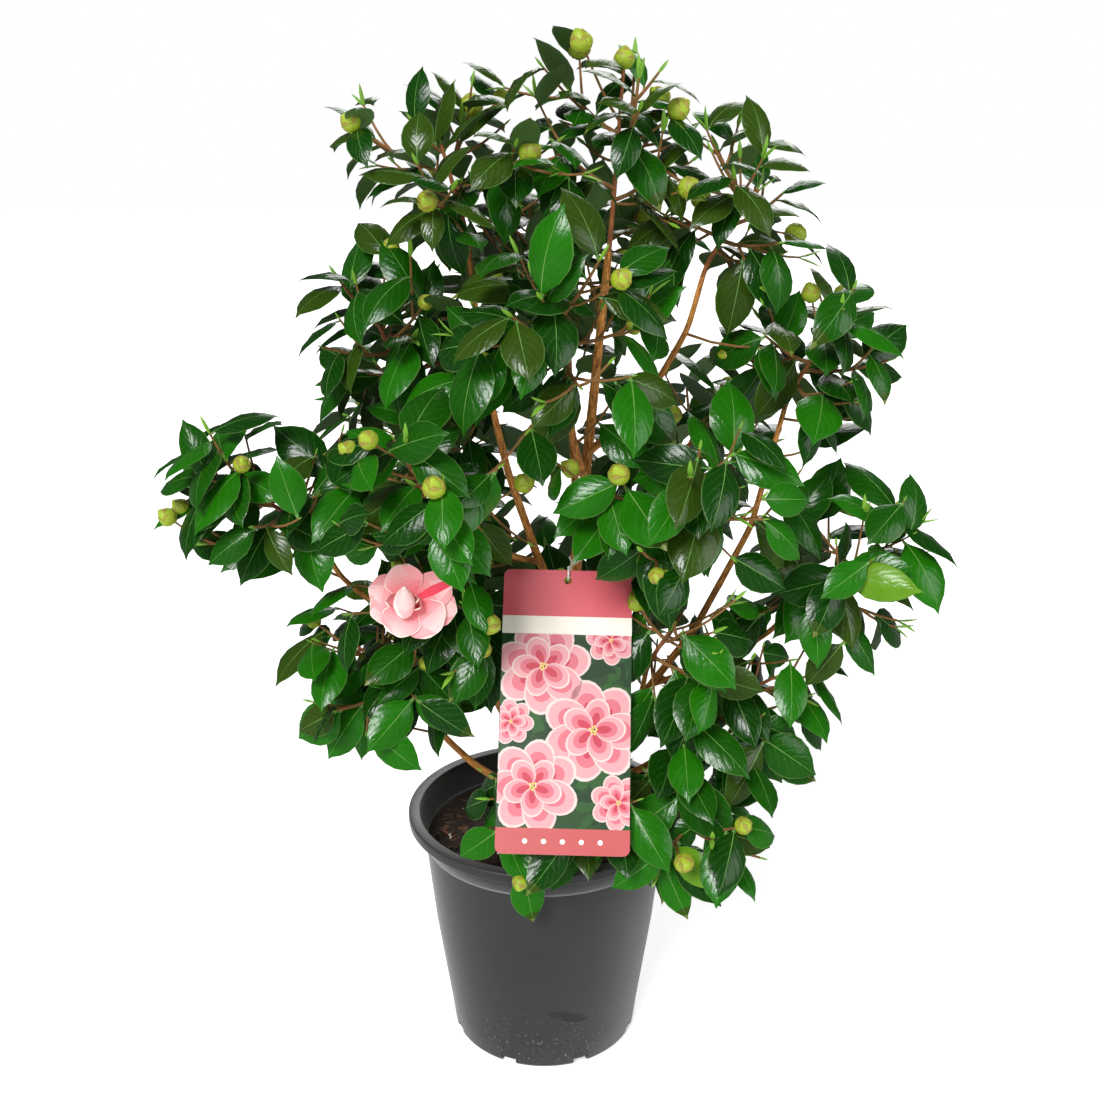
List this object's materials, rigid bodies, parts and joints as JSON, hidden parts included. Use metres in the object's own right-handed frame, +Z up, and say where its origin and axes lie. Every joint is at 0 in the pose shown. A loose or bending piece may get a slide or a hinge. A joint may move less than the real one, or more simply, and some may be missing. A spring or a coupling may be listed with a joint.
{
  "type": "potted camellia shrub",
  "caption": "Evergreen flowering shrub with glossy leaves and round buds in a round tapered nursery pot, with a hanging picture label.",
  "frame": {"origin": "centre of the pot's flat underside", "axes": "+Z up, the shrub's front towards -Y, +X to the right seen from the front"},
  "size_m": [0.7245, 0.5007, 0.9186],
  "materials": {
    "pot": "matt black moulded plastic",
    "soil": "damp bark and peat potting mix",
    "bark": "thin tan bark with fine streaks",
    "foliage": "glossy deep green leaves",
    "petal": "soft pale pink petals",
    "label": "thin printed plastic sheet",
    "tie": "thin clear plastic loop"
  },
  "bodies": {
    "root": {"pot": "pot", "soil": "soil", "trunk": "bark", "bough_top_left": "bark", "bough_top_right": "bark", "bough_left_shoulder": "bark", "bough_left_arm": "bark", "bough_right_shoulder": "bark", "bough_right_arm": "bark", "bough_left_low": "bark", "bough_right_low": "bark", "bough_front_right_low": "bark", "bough_front_left": "bark", "bough_front_right": "bark", "bough_front_top": "bark", "bough_front_low": "bark", "bough_inner_left": "bark", "bough_inner_right": "bark", "bough_back_top": "bark", "bough_back_left": "bark", "bough_back_right": "bark", "bough_back_low": "bark", "foliage_crown_top": "foliage", "foliage_top_left": "foliage", "foliage_top_right": "foliage", "foliage_left_shoulder": "foliage", "foliage_left_arm": "foliage", "foliage_right_shoulder": "foliage", "foliage_right_arm": "foliage", "foliage_left_low": "foliage", "foliage_right_low": "foliage", "foliage_front_right_low": "foliage", "foliage_front_left": "foliage", "foliage_front_right": "foliage", "foliage_front_top": "foliage", "foliage_front_low": "foliage", "foliage_inner_left": "foliage", "foliage_inner_right": "foliage", "foliage_back_top": "foliage", "foliage_back_left": "foliage", "foliage_back_right": "foliage", "foliage_back_low": "foliage", "flowering_twig": "petal", "label": "label", "label_tie": "tie"}
  },
  "joints": []
}
